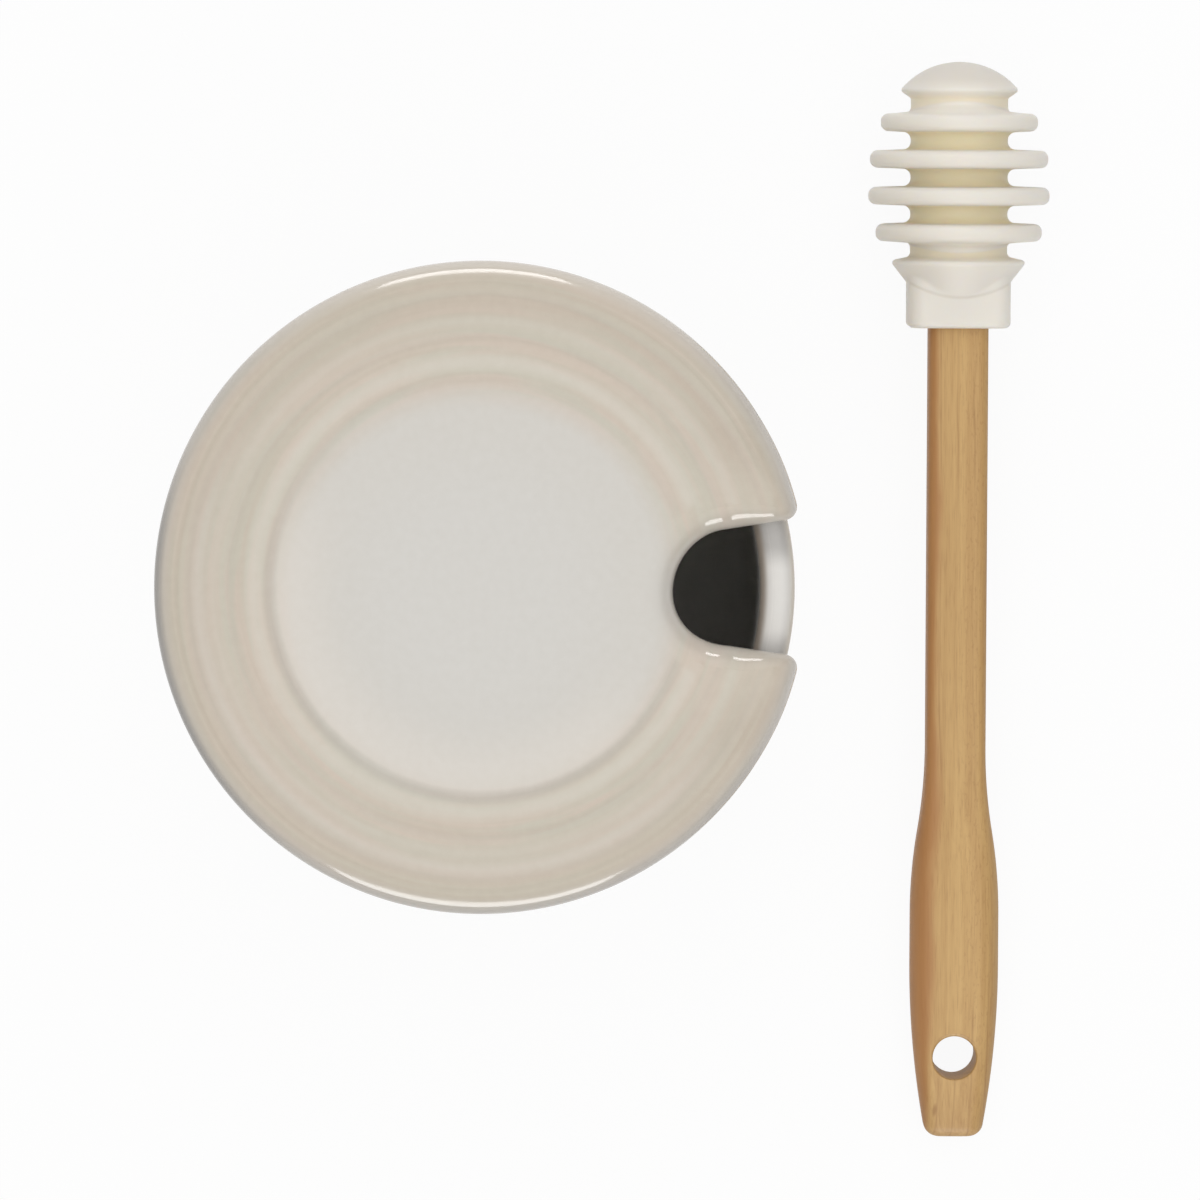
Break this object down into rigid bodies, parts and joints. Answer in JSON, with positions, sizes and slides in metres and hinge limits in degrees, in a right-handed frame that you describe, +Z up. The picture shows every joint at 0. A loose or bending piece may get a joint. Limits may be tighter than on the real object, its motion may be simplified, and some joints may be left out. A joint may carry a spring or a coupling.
{
  "type": "honey pot",
  "caption": "Round stoneware honey pot with a loose ringed lid, notched for its honey dipper: a ridged silicone head on a flared wooden handle.",
  "frame": {"origin": "centre of the pot's foot ring, on the table", "axes": "+Z up, +X out through the lid's notch towards the dipper, +Y from the dipper's grip towards its head"},
  "size_m": [0.139, 0.1733, 0.097],
  "materials": {
    "pot_glaze": "gloss",
    "lid_glaze": "gloss",
    "silicone": "satin",
    "wood": "satin"
  },
  "bodies": {
    "pot": {"pot_body": "pot_glaze"},
    "lid": {"lid": "lid_glaze"},
    "dipper_handle": {"dipper_handle": "wood"},
    "dipper_head": {"dipper_head": "silicone"}
  },
  "joints": [
    {"name": "lid_lift", "type": "slide", "parent": "pot", "child": "lid", "axis": [0, 0, 1], "range_m": [0, 0.12]},
    {"name": "dipper_lift", "type": "slide", "parent": "pot", "child": "dipper_handle", "axis": [0, 0, 1], "range_m": [0, 0.12]},
    {"name": "head_pull", "type": "slide", "parent": "dipper_handle", "child": "dipper_head", "axis": [0.0035, 0.9977, 0.0677], "range_m": [0, 0.04]}
  ]
}
